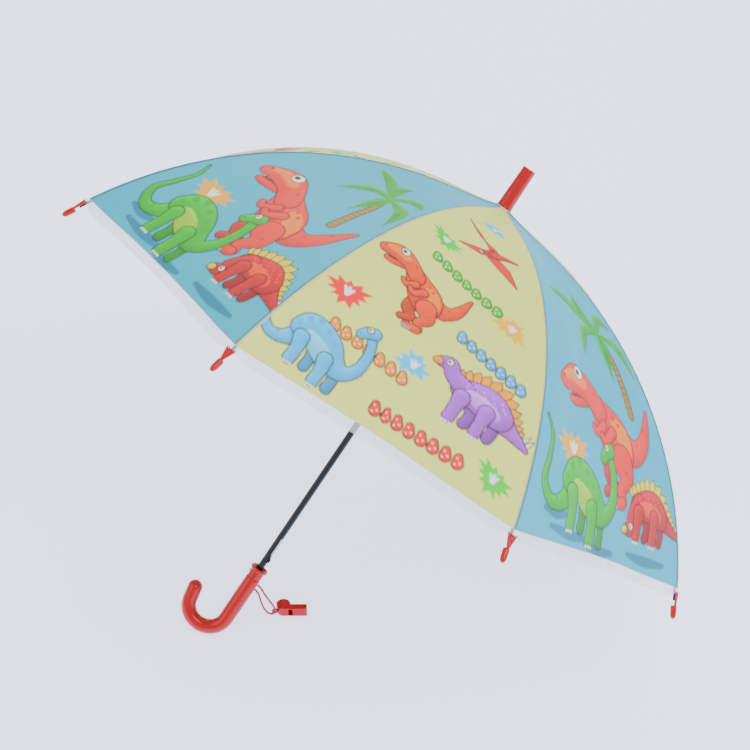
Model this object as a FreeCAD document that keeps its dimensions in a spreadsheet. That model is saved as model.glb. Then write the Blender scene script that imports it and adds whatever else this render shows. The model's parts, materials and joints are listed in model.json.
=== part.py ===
"""Children's stick umbrella, open and resting on its hook handle and two rib tips.

The umbrella is drawn in its own frame: +Z runs up the shaft to the ferrule, the origin is on the
shaft's axis at the level of the canopy's top, and azimuth 0 faces the floor.  One placement then
leans it over so that the hook and two tips stand on the floor, with the origin under its middle.
"""
import FreeCAD, Part
import math
import os

from FreeCAD import Placement, Rotation, Vector
from Sketcher import Constraint

os.makedirs("parts", exist_ok=True)
doc = FreeCAD.newDocument("childrens_umbrella")

# ---------------------------------------------------------------- driving dimensions (mm, degrees)
DIMENSIONS = [
    ("lean_angle", 47.57, "slope of the shaft above the floor"),
    ("rib_count", 8, "ribs, panels and stretchers"),
    ("bow_radius", 476.3, "radius of the canopy's outer face along a rib"),
    ("bow_turn", 57.6, "turn of that arc from the crown to the hem"),
    ("crown_pitch", 8, "radius of the circle of rib hinges"),
    ("film_thickness", 0.8, "canopy film with its seam"),
    ("film_gap", 0.6, "air between film and rib"),
    ("apex_rise", 8, "how far the film climbs to the ferrule"),
    ("apex_fade", 26, "distance over which that rise fades out"),
    ("hem_overhang", 6, "film past the rib's last turn"),
    ("panel_gap", 0.3, "air beside each panel's edge"),
    ("shaft_radius", 4, "steel tube"),
    ("shaft_bore", 3.5, ""),
    ("shaft_top", 30, "top of the tube, inside the ferrule"),
    ("shaft_foot", 565, "bottom of the tube, inside the handle"),
    ("fit_gap", 0.05, "running and push fits, each side"),
    ("rib_width", 2.6, "channel section of a rib"),
    ("rib_height", 2.4, ""),
    ("rib_wall", 0.6, ""),
    ("joint_drop", 3.6, "stretcher pivot below the rib's centre line"),
    ("joint_share", 0.5, "stretcher joint as a share of the rib's turn"),
    ("joint_air", 0.3, "air between two moving pieces"),
    ("cheek_wall", 0.5, "side plate of the joint"),
    ("cheek_length", 16, ""),
    ("cheek_height", 7.4, ""),
    ("rivet_radius", 0.8, ""),
    ("rivet_head", 1.5, ""),
    ("eye_radius", 1.6, "rib's end eye on the crown wire"),
    ("eye_bore", 1.05, "loose hole in the eye"),
    ("wire_radius", 0.5, "crown wire"),
    ("stretcher_width", 2.2, ""),
    ("stretcher_wall", 0.6, ""),
    ("crown_radius", 12, "toothed ring"),
    ("crown_height", 6, ""),
    ("crown_sleeve", 6.2, "radius of the crown's sleeve"),
    ("crown_depth", 20, "sleeve below the ring"),
    ("slot_width", 3.4, "crown slot for a rib"),
    ("runner_radius", 11.5, "toothed ring of the runner"),
    ("runner_sleeve", 5.6, ""),
    ("runner_ring", 6, "height of that ring"),
    ("runner_rise", 5, "sleeve above the stretcher pivots"),
    ("runner_drop", 28, "sleeve below the stretcher pivots"),
    ("runner_grip", 9, "radius of the thumb grip"),
    ("grip_height", 8, ""),
    ("runner_slot", 2.8, "slot for a stretcher"),
    ("runner_wire_pitch", 6.15, "radius of the runner's wire ring"),
    ("runner_wire_radius", 0.35, ""),
    ("keyway_width", 2.4, "groove that passes the two catches"),
    ("keyway_mouth", 7, "gap in the ring and the grip over that groove"),
    ("close_turn", 69, "turn of a rib from open to closed"),
    ("stop_radius", 0.7, "cross pin above the open runner"),
    ("stop_length", 13, ""),
    ("catch_width", 1.4, "sprung catch"),
    ("catch_length", 9.6, ""),
    ("catch_proud", 3, "how far a catch stands out of the tube"),
    ("spring_length", 24, "spring strip behind a catch"),
    ("spring_wall", 0.7, ""),
    ("catch_slot", 2, "slot in the tube for catch and spring"),
    ("lower_catch_top", 488, "top of the lower catch, below the canopy's top"),
    ("washer_radius", 9.7, "washer between canopy and ferrule"),
    ("washer_wall", 0.9, ""),
    ("ferrule_base", 9.25, "radius at the washer"),
    ("ferrule_tip", 8, "radius at the top"),
    ("ferrule_length", 52, ""),
    ("ferrule_edge", 1, "bevel round the top"),
    ("collar_top", 509, "rim of the handle's collar, below the canopy's top"),
    ("collar_radius", 11, "rim"),
    ("collar_rim", 4, "height of the rim"),
    ("collar_sleeve", 8.6, ""),
    ("collar_height", 15, "rim and sleeve"),
    ("collar_dish", 9, "radius of the shallow dish in the rim"),
    ("dish_depth", 2.5, ""),
    ("grip_radius", 9, "hook handle"),
    ("grip_straight", 61, "straight part of the grip"),
    ("hook_radius", 25, "bend of the hook's centre line"),
    ("hook_turn", 170, ""),
    ("hook_end", 15, "straight end of the hook"),
    ("hook_azimuth", 132, "side to which the hook bends"),
    ("pin_radius", 1.3, "pin through collar and tube"),
    ("pin_drop", 8, "pin below the collar's rim"),
    ("pin_azimuth", 137, ""),
    ("bullet_radius", 3.4, "rounded end of a rib tip"),
    ("bullet_length", 15, ""),
    ("fan_length", 11, "flat tab of a rib tip, sewn to the canopy"),
    ("fan_width", 10, ""),
    ("fan_wall", 1.8, ""),
    ("tip_start", 8, "tab beyond the rib's last turn"),
    ("whistle_radius", 8.5, "round chamber of the whistle"),
    ("whistle_height", 12.4, ""),
    ("whistle_wall", 1.4, ""),
    ("mouth_length", 29, "mouthpiece from the chamber's middle"),
    ("mouth_depth", 8, ""),
    ("window_length", 5, "air window"),
    ("airway", 1.8, "gap that leads the breath to the window"),
    ("lug_radius", 2.8, "ring for the cord"),
    ("lug_wire", 1.1, ""),
    ("pea_radius", 3.4, "ball in the chamber"),
    ("cord_radius", 1.25, "whistle cord"),
    ("cord_hole", 1.7, "two holes for the cord in the grip"),
    ("cord_hole_depth", 4.5, ""),
    ("upper_cord_hole", 4.5, "holes below the collar's foot"),
    ("lower_cord_hole", 11, ""),
    ("cord_azimuth", -48, "side on which the cord leaves the grip"),
]
dims = doc.addObject("Spreadsheet::Sheet", "dims")
for row, (alias, value, meaning) in enumerate(DIMENSIONS, start=1):
    dims.set("A%d" % row, alias)
    dims.set("B%d" % row, str(value))
    dims.set("C%d" % row, meaning)
    dims.setAlias("B%d" % row, alias)
doc.recompute()


def size(alias):
    """Value of one driving dimension."""
    return float(getattr(dims, alias))


# ---------------------------------------------------------------- lengths worked out from them
BOW = size("bow_radius")
PITCH = size("crown_pitch")
RIB_COUNT = int(size("rib_count"))
RIB_STEP = 360.0 / RIB_COUNT
FIRST_RIB = RIB_STEP / 2
RIB_BOW = BOW - size("film_thickness") - size("film_gap") - size("rib_height") / 2
JOINT_TURN = size("bow_turn") * size("joint_share")
JOINT_BOW = RIB_BOW - size("joint_drop")
AIR = size("joint_air")
CENTRE = Vector(PITCH, 0, -BOW)


def on_bow(radius, turn):
    """Point of the upright plane at azimuth 0: a turn in degrees round the bow's centre."""
    angle = math.radians(turn)
    return CENTRE + Vector(radius * math.sin(angle), 0, radius * math.cos(angle))


HINGE = on_bow(RIB_BOW, 0)
JOINT = on_bow(JOINT_BOW, JOINT_TURN)
STRETCHER = (JOINT - HINGE).Length
OPEN_SLOPE = math.degrees(math.atan2(HINGE.z - JOINT.z, JOINT.x - HINGE.x))
RUNNER_PIVOT = 2 * JOINT.z - HINGE.z
RUNNER_TOP = RUNNER_PIVOT + size("runner_rise")
RUNNER_FOOT = RUNNER_PIVOT - size("runner_drop")
UPPER_CATCH_TOP = RUNNER_FOOT - AIR
TRAVEL = 2 * STRETCHER * (math.sin(math.radians(OPEN_SLOPE + size("close_turn")))
                          - math.sin(math.radians(OPEN_SLOPE)))

UP = Vector(0, 0, 1)
ALONG_X = Vector(1, 0, 0)
ALONG_Y = Vector(0, 1, 0)
NO_TURN = Rotation()
LEAN = Placement(Vector(0, 0, 0), Rotation(ALONG_Y, 90 - size("lean_angle")))
sub_parts = []


def at(x=0.0, y=0.0, z=0.0, turn=NO_TURN):
    """A place, with a turn about it."""
    return Placement(Vector(x, y, z), turn)


def round_shaft(azimuth):
    """The turn about the shaft that carries azimuth 0 to the given azimuth."""
    return at(turn=Rotation(UP, azimuth))


def solid(kind, name, place=None, **sizes):
    """A Part primitive whose sizes are bound to the spreadsheet."""
    item = doc.addObject("Part::" + kind, name)
    for prop, formula in sizes.items():
        item.setExpression(prop, formula)
    if place is not None:
        item.Placement = place
    return item


def fuse(name, *items):
    item = doc.addObject("Part::MultiFuse", name)
    item.Shapes = list(items)
    return item


def cut(name, base, *tools):
    item = doc.addObject("Part::Cut", name)
    item.Base = base
    item.Tool = tools[0] if len(tools) == 1 else fuse(name + "_tools", *tools)
    return item


def tube(name, outer, bore, length, foot):
    """A round tube on the shaft's axis from a foot level upwards."""
    wall = solid("Cylinder", name + "_wall", at(z=foot), Radius=outer, Height=length)
    hole = solid("Cylinder", name + "_bore", at(z=foot - 1), Radius=bore, Height=length + " + 2")
    return cut(name + "_tube", wall, hole)


def finish(label, item, place=None):
    """Name a sub-part and lean it over with the rest."""
    item.Label = label
    item.Placement = LEAN.multiply(place) if place is not None else LEAN
    sub_parts.append(item)
    return item


def origin_plane(body, role):
    """One of a body's own origin planes."""
    return [item for item in body.Origin.OriginFeatures if item.Role == role][0]


def rectangle(body, name, plane, left, low, width, height):
    """A fully bound rectangle on one of the body's origin planes."""
    sketch = body.newObject("Sketcher::SketchObject", name)
    sketch.AttachmentSupport = (origin_plane(body, plane), "")
    sketch.MapMode = "FlatFace"
    corners = [Vector(10, 10, 0), Vector(20, 10, 0), Vector(20, 20, 0), Vector(10, 20, 0)]
    for index in range(4):
        sketch.addGeometry(Part.LineSegment(corners[index], corners[(index + 1) % 4]), False)
    for index in range(4):
        sketch.addConstraint(Constraint("Coincident", index, 2, (index + 1) % 4, 1))
    for index, kind in enumerate(("Horizontal", "Vertical", "Horizontal", "Vertical")):
        sketch.addConstraint(Constraint(kind, index))
    bindings = (("DistanceX", (-1, 1, 0, 1), left), ("DistanceY", (-1, 1, 0, 1), low),
                ("DistanceX", (0, 1, 0, 2), width), ("DistanceY", (1, 1, 1, 2), height))
    for kind, ends, formula in bindings:
        number = sketch.addConstraint(Constraint(kind, *ends, 10.0))
        sketch.setExpression("Constraints[%d]" % number, formula)
    return sketch


def swept_round(body, name, sketch, angle, cutting=False):
    """Turn a section about the body's Y axis by a bound angle."""
    kind = "PartDesign::Groove" if cutting else "PartDesign::Revolution"
    feature = body.newObject(kind, name)
    feature.Profile = sketch
    feature.ReferenceAxis = (sketch, ["H_Axis"])
    feature.setExpression("Angle", angle)
    return feature


# ---------------------------------------------------------------- shaft, ferrule and washer
def make_shaft():
    """A steel tube with a slot for each catch, which spring out on azimuth -90."""
    pipe = tube("shaft", "dims.shaft_radius", "dims.shaft_bore", "dims.shaft_top + dims.shaft_foot",
                -size("shaft_foot"))
    slots = []
    for name, top in (("upper", UPPER_CATCH_TOP), ("lower", -size("lower_catch_top"))):
        slots.append(solid("Box", name + "_slot",
                           at(-size("catch_slot") / 2, -size("shaft_radius") - 1,
                              top - size("catch_length") - 1),
                           Length="dims.catch_slot", Width="dims.shaft_radius",
                           Height="dims.catch_length + dims.spring_length + 2"))
    finish("shaft", cut("shaft_slotted", pipe, *slots))


def make_ferrule():
    """The long red cap over the canopy's top, and the washer under it."""
    level = size("apex_rise")
    finish("canopy_washer", tube("washer", "dims.washer_radius",
                                 "dims.shaft_radius + dims.fit_gap", "dims.washer_wall", level))
    foot = level + size("washer_wall")
    cone = solid("Cone", "ferrule_cone", at(z=foot), Radius1="dims.ferrule_base",
                 Radius2="dims.ferrule_tip", Height="dims.ferrule_length - dims.ferrule_edge")
    edge = solid("Cone", "ferrule_bevel", at(z=foot + size("ferrule_length") - size("ferrule_edge")),
                 Radius1="dims.ferrule_tip", Radius2="dims.ferrule_tip - dims.ferrule_edge",
                 Height="dims.ferrule_edge")
    bore = solid("Cylinder", "ferrule_bore", at(z=foot - 1),
                 Radius="dims.shaft_radius + dims.fit_gap",
                 Height="dims.shaft_top - dims.apex_rise - dims.washer_wall + 1.2")
    finish("ferrule", cut("ferrule_bored", fuse("ferrule_solid", cone, edge), bore))


# ---------------------------------------------------------------- crown and runner
def spoke_slots(name, width, foot, height, reach):
    """Radial slots, one at each rib, open outwards and at both ends."""
    slots = []
    for number in range(RIB_COUNT):
        turn = Rotation(UP, FIRST_RIB + RIB_STEP * number)
        corner = turn.multVec(Vector(size(reach), -size(width) / 2, foot))
        slots.append(solid("Box", "%s_%d" % (name, number), Placement(corner, turn),
                           Length="dims.crown_radius", Width="dims." + width, Height=height))
    return slots


def make_crown():
    """The notched ring that carries the ribs, on a sleeve pinned to the shaft, with its wire."""
    ring_foot = HINGE.z - size("crown_height") / 2
    sleeve_foot = ring_foot - size("crown_depth")
    sleeve_top = size("apex_rise") - size("film_thickness") - AIR
    sleeve = solid("Cylinder", "crown_sleeve_wall", at(z=sleeve_foot), Radius="dims.crown_sleeve",
                   Height="%f" % (sleeve_top - sleeve_foot))
    ring = solid("Cylinder", "crown_ring", at(z=ring_foot), Radius="dims.crown_radius",
                 Height="dims.crown_height")
    bore = solid("Cylinder", "crown_bore", at(z=sleeve_foot - 1),
                 Radius="dims.shaft_radius + dims.fit_gap", Height="60")
    slots = spoke_slots("crown_slot", "slot_width", ring_foot - 1, "dims.crown_height + 2",
                        "crown_sleeve")
    finish("crown", cut("crown_cut", fuse("crown_solid", sleeve, ring), bore, *slots))
    finish("crown_wire", solid("Torus", "crown_wire_ring", Radius1="dims.crown_pitch",
                               Radius2="dims.wire_radius"), at(z=HINGE.z))


def make_runner():
    """The slider that spreads the stretchers: a notched ring, a sleeve and a fluted thumb grip."""
    length = "dims.runner_rise + dims.runner_drop"
    sleeve = solid("Cylinder", "runner_wall", at(z=RUNNER_FOOT), Radius="dims.runner_sleeve",
                   Height=length)
    ring = solid("Cylinder", "runner_ring_disc", at(z=RUNNER_PIVOT - size("runner_ring") / 2),
                 Radius="dims.runner_radius", Height="dims.runner_ring")
    grip = solid("Cylinder", "runner_grip_disc", at(z=RUNNER_FOOT), Radius="dims.runner_grip",
                 Height="dims.grip_height")
    bore = solid("Cylinder", "runner_bore", at(z=RUNNER_FOOT - 1),
                 Radius="dims.shaft_radius + dims.fit_gap", Height=length + " + 2")
    slots = spoke_slots("runner_slot", "runner_slot", RUNNER_FOOT - 1, length + " + 2",
                        "runner_sleeve")
    keyway = solid("Box", "runner_keyway",
                   at(-size("keyway_width") / 2, -2 * size("runner_radius"), RUNNER_FOOT - 1),
                   Length="dims.keyway_width", Width="2 * dims.runner_radius",
                   Height=length + " + 2")
    mouth = solid("Box", "runner_keyway_mouth",
                  at(-size("keyway_mouth") / 2, -2 * size("runner_radius") - size("runner_sleeve"),
                     RUNNER_FOOT - 1),
                  Length="dims.keyway_mouth", Width="2 * dims.runner_radius",
                  Height=length + " + 2")
    runner = cut("runner_cut", fuse("runner_solid", sleeve, ring, grip), bore, keyway, mouth, *slots)
    finish("runner", runner)
    wire = solid("Torus", "runner_wire_ring", Radius1="dims.runner_wire_pitch",
                 Radius2="dims.runner_wire_radius", Angle3="300")
    finish("runner_wire", wire, at(z=RUNNER_PIVOT, turn=Rotation(UP, -60)))


def make_stop_pin():
    """The cross pin that stops the open runner."""
    level = RUNNER_TOP + AIR + size("stop_radius")
    pin = solid("Cylinder", "stop_pin_rod", Radius="dims.stop_radius", Height="dims.stop_length")
    finish("stop_pin", pin, at(-size("stop_length") / 2, 0, level, Rotation(ALONG_Y, 90)))


# ---------------------------------------------------------------- sprung catches
def make_catch(name, top, locks_upwards):
    """A wedge that stands out of the tube, on a spring strip that lies in the tube's slot."""
    outer = -size("shaft_radius") - size("catch_proud")
    inner = -size("shaft_radius") + size("spring_wall") + 0.2
    foot = top - size("catch_length")
    slope = size("catch_length") * 0.55
    steep, gentle = (top, foot) if locks_upwards else (foot, top)
    towards = 1 if gentle > steep else -1
    outline = [Vector(0, inner, steep), Vector(0, outer + 0.8, steep),
               Vector(0, outer, steep + towards * 0.8),
               Vector(0, outer, steep + towards * (size("catch_length") - slope)),
               Vector(0, inner, gentle)]
    half = Vector(size("catch_width") / 2, 0, 0)
    face = Part.Face(Part.makePolygon([point - half for point in outline + outline[:1]]))
    wedge = doc.addObject("Part::Feature", name + "_wedge")
    wedge.Shape = face.extrude(2 * half)
    finish(name, wedge)
    strip = solid("Box", name + "_strip", Length="dims.catch_width", Width="dims.spring_wall",
                  Height="dims.spring_length")
    finish(name + "_spring", strip, at(-half.x, -size("shaft_radius") + 0.1, top))


# ---------------------------------------------------------------- collar, hook handle and pin
def make_handle():
    """The dished collar, the J-shaped grip with its bent end, and the pin that holds them."""
    foot = -size("collar_top") - size("collar_height")
    sleeve = solid("Cylinder", "collar_wall", at(z=foot), Radius="dims.collar_sleeve",
                   Height="dims.collar_height")
    rim = solid("Cylinder", "collar_rim_disc", at(z=-size("collar_top") - size("collar_rim")),
                Radius="dims.collar_radius", Height="dims.collar_rim")
    dish = solid("Cone", "collar_dish_cone", at(z=-size("collar_top") - size("dish_depth")),
                 Radius1="dims.collar_dish - 2", Radius2="dims.collar_dish",
                 Height="dims.dish_depth + 0.001")
    bore = solid("Cylinder", "collar_bore", at(z=foot - 1),
                 Radius="dims.shaft_radius + dims.fit_gap", Height="dims.collar_height + 2")
    finish("handle_collar", cut("collar_cut", fuse("collar_solid", sleeve, rim), dish, bore))

    bend = foot - size("grip_straight")
    turn = Rotation(UP, size("hook_azimuth"))
    straight = solid("Cylinder", "grip_straight_rod", at(z=bend), Radius="dims.grip_radius",
                     Height="dims.grip_straight")
    middle = turn.multVec(Vector(size("hook_radius"), 0, 0)) + Vector(0, 0, bend)
    upright = turn.multiply(Rotation(ALONG_X, 90)).multiply(Rotation(UP, 180))
    hook = solid("Torus", "hook_bend", Placement(middle, upright), Radius1="dims.hook_radius",
                 Radius2="dims.grip_radius", Angle3="dims.hook_turn")
    angle = math.radians(size("hook_turn"))
    heading = Vector(math.sin(angle), 0, -math.cos(angle))
    tail = Vector(size("hook_radius") * (1 - math.cos(angle)), 0, -size("hook_radius") * math.sin(angle))
    tail_place = Placement(turn.multVec(tail) + Vector(0, 0, bend),
                           turn.multiply(Rotation(UP, heading)))
    end = solid("Cylinder", "hook_end_rod", tail_place, Radius="dims.grip_radius",
                Height="dims.hook_end")
    ball_place = Placement(turn.multVec(tail + heading * size("hook_end")) + Vector(0, 0, bend), turn)
    ball = solid("Sphere", "hook_end_ball", ball_place, Radius="dims.grip_radius")
    socket = solid("Cylinder", "grip_socket", at(z=-size("shaft_foot") - AIR),
                   Radius="dims.shaft_radius + dims.fit_gap", Height="dims.shaft_foot")
    inward = Rotation(UP, size("cord_azimuth")).multiply(Rotation(ALONG_Y, -90))
    mouth = Rotation(UP, size("cord_azimuth")).multVec(Vector(size("grip_radius") + 1, 0, 0))
    holes = [solid("Cylinder", name, Placement(mouth + Vector(0, 0, foot - size(name)), inward),
                   Radius="dims.cord_hole", Height="dims.cord_hole_depth + 1")
             for name in ("upper_cord_hole", "lower_cord_hole")]
    grip = fuse("grip_solid", straight, hook, end, ball)
    finish("hook_handle", cut("grip_cut", grip, socket, *holes))

    pin = solid("Cylinder", "handle_pin_rod", Radius="dims.pin_radius",
                Height="dims.collar_sleeve + 1")
    level = -size("collar_top") - size("pin_drop")
    sideways = Rotation(UP, size("pin_azimuth")).multiply(Rotation(ALONG_Y, 90))
    finish("handle_pin", pin, Placement(Vector(0, 0, level), sideways))


# ---------------------------------------------------------------- ribs, stretchers and tips
def channel(name, start, turn):
    """A rib's channel section carried round the bow, with its groove on the inner side."""
    body = doc.addObject("PartDesign::Body", name + "_channel")
    section = rectangle(body, name + "_section", "YZ_Plane", "-dims.rib_width / 2",
                        "%f" % (RIB_BOW - size("rib_height") / 2), "dims.rib_width",
                        "dims.rib_height")
    swept_round(body, name + "_bow", section, turn)
    doc.recompute()
    groove = rectangle(body, name + "_groove_section", "YZ_Plane",
                       "-dims.rib_width / 2 + dims.rib_wall",
                       "%f" % (RIB_BOW - size("rib_height") / 2 - 1),
                       "dims.rib_width - 2 * dims.rib_wall", "dims.rib_height - dims.rib_wall + 1")
    swept_round(body, name + "_groove", groove, turn, cutting=True)
    body.Placement = Placement(CENTRE, Rotation(ALONG_Y, start))
    return body


def beside_joint(name, along, low, length, height, left, width):
    """A block in the frame of the stretcher joint: along the rib, below its line, across it."""
    turn = Rotation(ALONG_Y, JOINT_TURN)
    corner = on_bow(RIB_BOW, JOINT_TURN) + turn.multVec(Vector(along, left, low))
    return solid("Box", name, Placement(corner, turn), Length=length, Width=width, Height=height)


def make_rib_inner(number, place):
    """From the crown's eye to the stretcher joint, with its two cheeks and their rivet."""
    name = "rib_inner_%d" % number
    inner_half = size("rib_width") / 2
    cheek_inside = inner_half + AIR
    gap_turn = math.degrees((size("rib_height") / 2 + 3 * AIR) / RIB_BOW)
    start_turn = math.degrees(size("wire_radius") * 2.4 / RIB_BOW)
    bow = channel(name, start_turn, "%f" % (JOINT_TURN - gap_turn - start_turn))
    sideways = Rotation(ALONG_X, 90)
    eye = solid("Cylinder", name + "_eye", Placement(HINGE + Vector(0, inner_half, 0), sideways),
                Radius="dims.eye_radius", Height="dims.rib_width")
    eye_hole = solid("Cylinder", name + "_eye_hole",
                     Placement(HINGE + Vector(0, inner_half + 1, 0), sideways),
                     Radius="dims.eye_bore", Height="dims.rib_width + 2")
    half_length = size("cheek_length") / 2
    cheek_low = size("rib_height") / 2 - AIR - size("cheek_height")
    cheeks = [beside_joint("%s_cheek_%s" % (name, side), -half_length, cheek_low,
                           "dims.cheek_length", "dims.cheek_height", left, "dims.cheek_wall")
              for side, left in (("left", -cheek_inside - size("cheek_wall")),
                                 ("right", cheek_inside))]
    saddle = beside_joint(name + "_saddle", -half_length, -size("rib_height") / 2,
                          "dims.cheek_length / 2 - 3", "dims.rib_height", -cheek_inside - 0.1,
                          "dims.rib_width + 2 * dims.joint_air + 0.2")
    reach = cheek_inside + size("cheek_wall")
    rivet = solid("Cylinder", name + "_rivet", Placement(JOINT + Vector(0, reach, 0), sideways),
                  Radius="dims.rivet_radius", Height="%f" % (2 * reach))
    heads = [solid("Cylinder", "%s_rivet_head_%s" % (name, side),
                   Placement(JOINT + Vector(0, offset, 0), sideways),
                   Radius="dims.rivet_head", Height="dims.cheek_wall")
             for side, offset in (("left", -reach), ("right", reach + size("cheek_wall")))]
    whole = fuse(name + "_solid", bow, eye, saddle, rivet, *(cheeks + heads))
    finish(name, cut(name + "_cut", whole, eye_hole), place)


def make_rib_outer(number, place):
    """From the joint to the tip, with a rounded root that turns between the cheeks."""
    name = "rib_outer_%d" % number
    bow = channel(name, JOINT_TURN, "dims.bow_turn - %f + %f" % (
        JOINT_TURN, math.degrees((size("tip_start") + size("fan_length") / 2) / BOW)))
    root = on_bow(RIB_BOW, JOINT_TURN) + Vector(0, size("rib_width") / 2, 0)
    nose = solid("Cylinder", name + "_root", Placement(root, Rotation(ALONG_X, 90)),
                 Radius="dims.rib_height / 2", Height="dims.rib_width")
    finish(name, fuse(name + "_solid", bow, nose), place)


def make_stretcher(number, place):
    """A straight channel from the rivet down to a nose in the runner's slot."""
    name = "stretcher_%d" % number
    half = size("stretcher_width") / 2
    length = "%f" % STRETCHER
    bar = solid("Box", name + "_bar", at(0, -half, -half), Length=length,
                Width="dims.stretcher_width", Height="dims.stretcher_width")
    groove = solid("Box", name + "_groove", at(3, -half + size("stretcher_wall"), -half - 1),
                   Length="%f" % (STRETCHER - 6),
                   Width="dims.stretcher_width - 2 * dims.stretcher_wall",
                   Height="dims.stretcher_width - dims.stretcher_wall + 1")
    sideways = Rotation(ALONG_X, 90)
    nose = solid("Cylinder", name + "_nose", at(0, half, 0, sideways),
                 Radius="dims.stretcher_width / 2", Height="dims.stretcher_width")
    eye = solid("Cylinder", name + "_eye", at(STRETCHER, half, 0, sideways),
                Radius="dims.rivet_head + dims.fit_gap", Height="dims.stretcher_width")
    hole = solid("Cylinder", name + "_hole", at(STRETCHER, half + 1, 0, sideways),
                 Radius="dims.rivet_radius + dims.fit_gap", Height="dims.stretcher_width + 2")
    upwards = Rotation(ALONG_Y, -OPEN_SLOPE)
    own = Placement(Vector(PITCH, 0, RUNNER_PIVOT), upwards)
    finish(name, cut(name + "_cut", fuse(name + "_solid", bar, nose, eye), groove, hole),
           place.multiply(own))


def make_rib_tip(number, place):
    """A moulded cap: a rounded bullet on the rib's end and a flat fan sewn to the canopy."""
    name = "rib_tip_%d" % number
    start = math.degrees(size("tip_start") / BOW)
    own = Placement(on_bow(RIB_BOW, size("bow_turn") + start),
                    Rotation(ALONG_Y, size("bow_turn") + start))
    half_wall = size("fan_wall") / 2
    fan = solid("Wedge", name + "_fan", at(0, 0, -half_wall, Rotation(Vector(0, 0, 1), 0)),
                Xmin="0", Xmax="dims.fan_length + 2", X2min="0", X2max="dims.fan_length + 2",
                Ymin="-dims.fan_width / 2", Ymax="dims.fan_width / 2", Zmin="0",
                Zmax="dims.fan_wall", Z2min="0", Z2max="dims.fan_wall")
    lying = Rotation(ALONG_Y, 90)
    bullet_start = size("fan_length")
    bullet = solid("Cylinder", name + "_bullet", at(bullet_start, 0, 0, lying),
                   Radius="dims.bullet_radius", Height="dims.bullet_length - dims.bullet_radius")
    ball = solid("Sphere", name + "_ball",
                 at(bullet_start + size("bullet_length") - size("bullet_radius")),
                 Radius="dims.bullet_radius")
    finish(name, fuse(name + "_solid", fan, bullet, ball), place.multiply(own))


# ---------------------------------------------------------------- canopy
def canopy_level(turn, inset):
    """Radius and level of the film at a turn of the bow, an inset below its outer face."""
    point = on_bow(BOW - inset, turn)
    rise = size("apex_rise") * math.exp(-(point.x - PITCH) / size("apex_fade"))
    return point.x, point.z + rise


def half_section(turn, side):
    """Flat outline across half a panel, from over the rib to the middle of the gore."""
    half_step = math.radians(RIB_STEP / 2)
    outer, inner = canopy_level(turn, 0.0), canopy_level(turn, size("film_thickness"))
    share = 1 - size("panel_gap") / (outer[0] * math.cos(half_step) * math.sin(half_step))
    outline = []
    for (radius, level), shares in ((outer, (0, share)), (inner, (share, 0))):
        for part_way in shares:
            inward = radius * math.sin(half_step) ** 2 * part_way
            sideways = radius * math.sin(half_step) * math.cos(half_step) * part_way
            outline.append(Vector(radius - inward, side * sideways, level))
    return Part.makePolygon(outline + outline[:1])


def make_canopy_panel(number, place):
    """The film over one rib, out to the middle of the gore on either side."""
    shares = [0, 0.03, 0.06] + [0.1 + 0.04 * step for step in range(23)]
    turns = [size("bow_turn") * share for share in shares]
    turns.append(size("bow_turn") + math.degrees(size("hem_overhang") / BOW))
    halves = [Part.makeLoft([half_section(turn, side) for turn in turns], True, True)
              for side in (-1, 1)]
    panel = doc.addObject("Part::Feature", "canopy_panel_solid_%d" % number)
    panel.Shape = halves[0].fuse(halves[1])
    finish("canopy_panel_%d" % number, panel, place)


# ---------------------------------------------------------------- whistle on its cord
WHISTLE_SPOT = Vector(-163, -13, 0)
WHISTLE_HEADING = -34
LUG_HEADING = 176
# The cord's route in the finished frame: out of the upper hole, down through the whistle's ring,
# round it just above the floor, and back up in a slack bow to the lower hole.
CORD_ROUTE = [Vector(*point) for point in (
    (-192.3, -7.3, 56.4), (-189.2, -10.6, 50.6), (-186.4, -12.0, 40.0), (-179.4, -12.6, 23.5),
    (-174.8, -12.2, 12.2), (-174.8, -12.2, 3.4), (-181.0, -11.9, 3.6), (-187.4, -11.2, 12.4),
    (-191.6, -11.2, 28.4), (-193.4, -11.2, 39.4), (-194.2, -10.3, 46.4), (-196.6, -7.3, 51.6))]


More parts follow.
